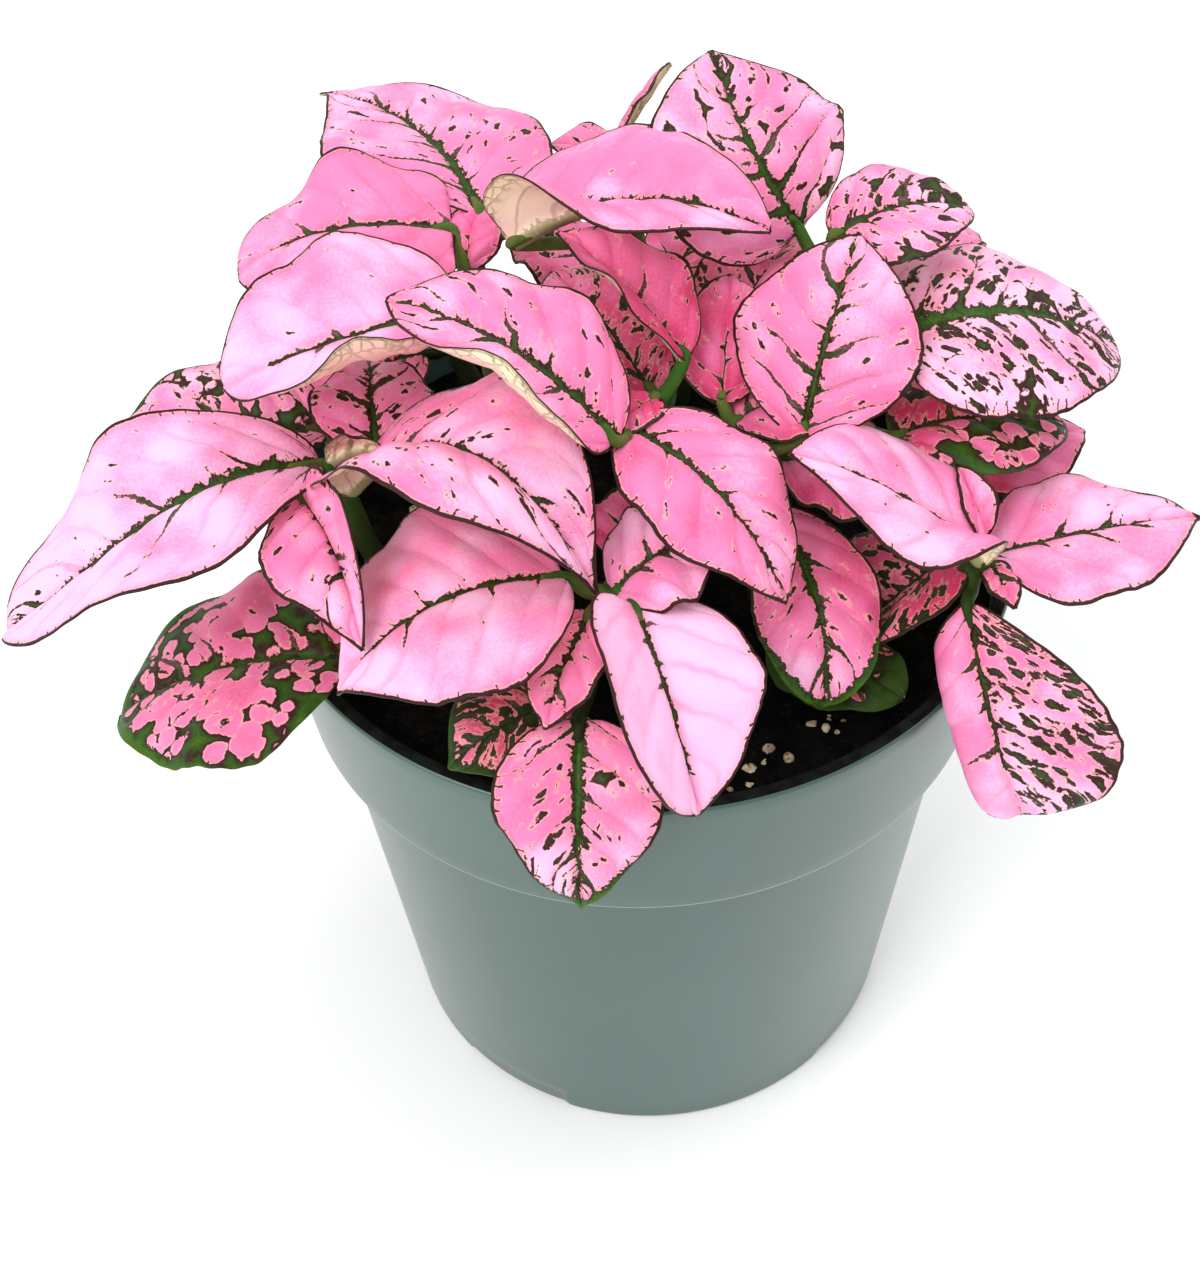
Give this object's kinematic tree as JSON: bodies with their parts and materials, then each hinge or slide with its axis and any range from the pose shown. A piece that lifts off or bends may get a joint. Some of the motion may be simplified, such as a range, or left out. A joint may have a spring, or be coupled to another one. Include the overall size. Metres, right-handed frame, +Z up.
{
  "type": "potted polka dot plant",
  "caption": "Young polka dot plant with pink, green-speckled leaves, planted in dark potting soil in a tapered round nursery pot with a collar band.",
  "frame": {"origin": "centre of the pot's flat underside, on the pot's axis", "axes": "+Z up along the pot's axis, -Y towards the side shown in the picture, +X to its right"},
  "size_m": [0.0761, 0.0664, 0.0759],
  "materials": {
    "pot": "satin grey-green moulded plastic",
    "soil": "dark crumbly peat potting soil with pale perlite grains",
    "leaf": "soft matte leaf, pink with dark green veins, specks and margins, green stems"
  },
  "bodies": {
    "root": {"pot": "pot", "soil": "soil", "shoot_front": "leaf", "shoot_left": "leaf", "shoot_back_left": "leaf", "shoot_centre": "leaf", "shoot_right_centre": "leaf", "shoot_right": "leaf", "shoot_back": "leaf", "shoot_back_right": "leaf", "shoot_far_left": "leaf", "shoot_far_middle": "leaf", "shoot_far_right": "leaf"}
  },
  "joints": []
}
